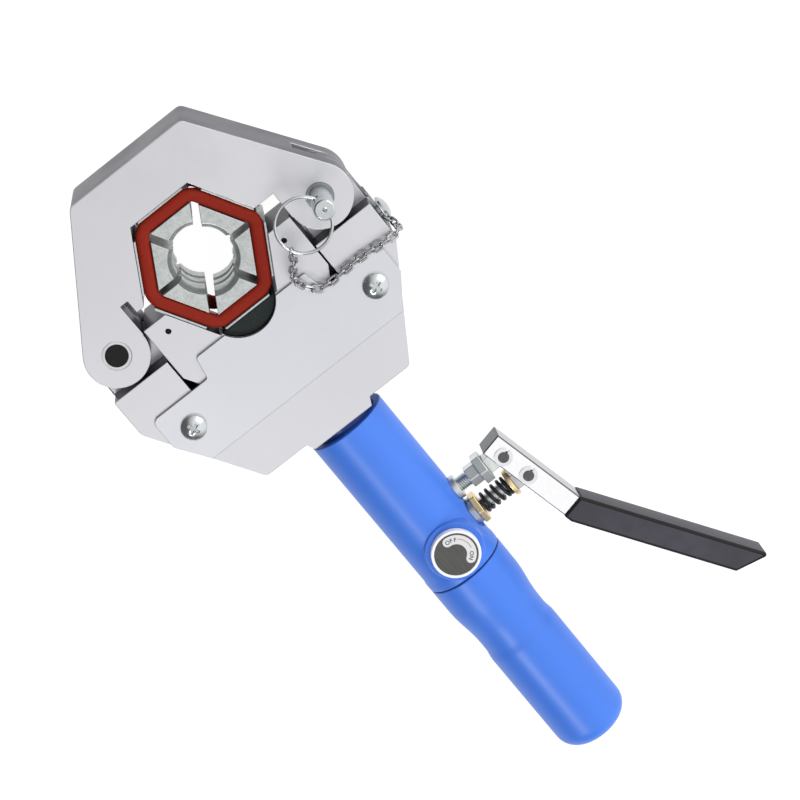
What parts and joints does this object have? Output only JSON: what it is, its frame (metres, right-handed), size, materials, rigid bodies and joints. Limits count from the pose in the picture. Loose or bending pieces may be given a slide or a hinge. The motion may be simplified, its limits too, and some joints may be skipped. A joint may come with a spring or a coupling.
{
  "type": "hydraulic crimping tool",
  "caption": "Hand-pumped hose crimper with a hinged head, sliding die segments held by red bands, blue pump handle, lever, release knob and chained lock pin.",
  "frame": {"origin": "on the crimp axis, half way through the head's thickness, with the dies open", "axes": "+Z along the crimp axis out of the front face with the release knob, +Y towards the yoke's top edge, the handle runs to -Y and the lever is on +X"},
  "size_m": [0.2317, 0.4415, 0.0931],
  "materials": {
    "head_metal": "satin",
    "cover_steel": "satin",
    "zinc": "bright zinc",
    "steel": "ground",
    "lever_steel": "bright plated",
    "die_steel": "machined",
    "black_steel": "black oxide",
    "band_red": "matt",
    "blue_coat": "satin blue",
    "seal_rubber": "matt",
    "brass": "turned",
    "grip_black": "matt",
    "knob_white": "matt",
    "dial_grey": "brushed"
  },
  "bodies": {
    "frame": {"head_body": "head_metal", "front_cover": "cover_steel", "rear_cover": "cover_steel", "cover_screws": "zinc", "hinge_pin": "black_steel", "ram_gland": "steel", "top_die": "die_steel", "front_band": "band_red", "rear_band": "band_red", "pump_barrel": "blue_coat", "joint_seal": "seal_rubber", "handle_tube": "blue_coat", "oil_bladder": "seal_rubber", "inlet_ball": "steel", "outlet_ball": "steel", "outlet_spring": "steel", "fulcrum_stud": "zinc", "fulcrum_nut": "zinc", "gland_nut": "brass", "plunger_seal": "seal_rubber", "chain": "steel", "chain_anchor": "zinc"},
    "yoke": {"yoke": "head_metal", "hinge_bushes": "zinc", "lock_bushes": "zinc"},
    "lock_pin": {"lock_pin": "steel", "pull_ring": "steel"},
    "ram": {"ram_piston": "steel", "ram_seal": "seal_rubber", "ram_spring": "black_steel", "die_seat": "head_metal", "thrust_pad": "black_steel", "bottom_die": "die_steel"},
    "die_upper_right": {"upper_right_die": "die_steel"},
    "die_upper_left": {"upper_left_die": "die_steel"},
    "die_lower_right": {"lower_right_die": "die_steel"},
    "die_lower_left": {"lower_left_die": "die_steel"},
    "lever": {"lever": "lever_steel", "lever_grip": "grip_black", "fulcrum_pin": "steel", "plunger_pin": "steel", "pin_clips": "zinc"},
    "plunger": {"plunger": "steel", "plunger_washer": "brass", "plunger_spring": "black_steel"},
    "knob": {"release_knob": "knob_white", "knob_dial": "dial_grey", "release_needle": "steel"}
  },
  "joints": [
    {"name": "yoke_hinge", "type": "hinge", "parent": "frame", "child": "yoke", "pos_m": [-0.071, -0.012, 0], "axis": [0, 0, 1], "range_deg": [0, 100]},
    {"name": "lock_pin_pull", "type": "slide", "parent": "frame", "child": "lock_pin", "axis": [0, 0, 1], "range_m": [0, 0.062], "deforming": ["chain"]},
    {"name": "ram_stroke", "type": "slide", "parent": "frame", "child": "ram", "axis": [0, 1, 0], "range_m": [0, 0.009], "stiffness_N_per_m": 3000, "deforming": ["ram_spring", "front_band", "rear_band"]},
    {"name": "die_upper_right_slide", "type": "slide", "parent": "frame", "child": "die_upper_right", "axis": [-0.5, 0.866, 0], "range_m": [0, 0.0039]},
    {"name": "die_upper_left_slide", "type": "slide", "parent": "frame", "child": "die_upper_left", "axis": [0.5, 0.866, 0], "range_m": [0, 0.0039]},
    {"name": "die_lower_right_slide", "type": "slide", "parent": "ram", "child": "die_lower_right", "axis": [-0.5, -0.866, 0], "range_m": [0, 0.0039]},
    {"name": "die_lower_left_slide", "type": "slide", "parent": "ram", "child": "die_lower_left", "axis": [0.5, -0.866, 0], "range_m": [0, 0.0039]},
    {"name": "lever_pivot", "type": "hinge", "parent": "frame", "child": "lever", "pos_m": [0.0578, -0.2, 0], "axis": [0, 0, -1], "range_deg": [0, 25], "stiffness_Nm_per_rad": 0.9},
    {"name": "plunger_stroke", "type": "slide", "parent": "frame", "child": "plunger", "axis": [-1, 0, 0], "range_m": [0, 0.00805], "deforming": ["plunger_spring"]},
    {"name": "knob_turn", "type": "hinge", "parent": "frame", "child": "knob", "pos_m": [0.0039, -0.2218, 0], "axis": [0, 0, 1], "range_deg": [-150, 0]}
  ],
  "couplings": [
    {"joint": "die_upper_right_slide", "follows": "ram_stroke", "ratio": 0.43301},
    {"joint": "die_upper_left_slide", "follows": "ram_stroke", "ratio": 0.43301},
    {"joint": "die_lower_right_slide", "follows": "ram_stroke", "ratio": 0.43301},
    {"joint": "die_lower_left_slide", "follows": "ram_stroke", "ratio": 0.43301},
    {"joint": "plunger_stroke", "follows": "lever_pivot", "m_per_rad": 0.018404}
  ]
}
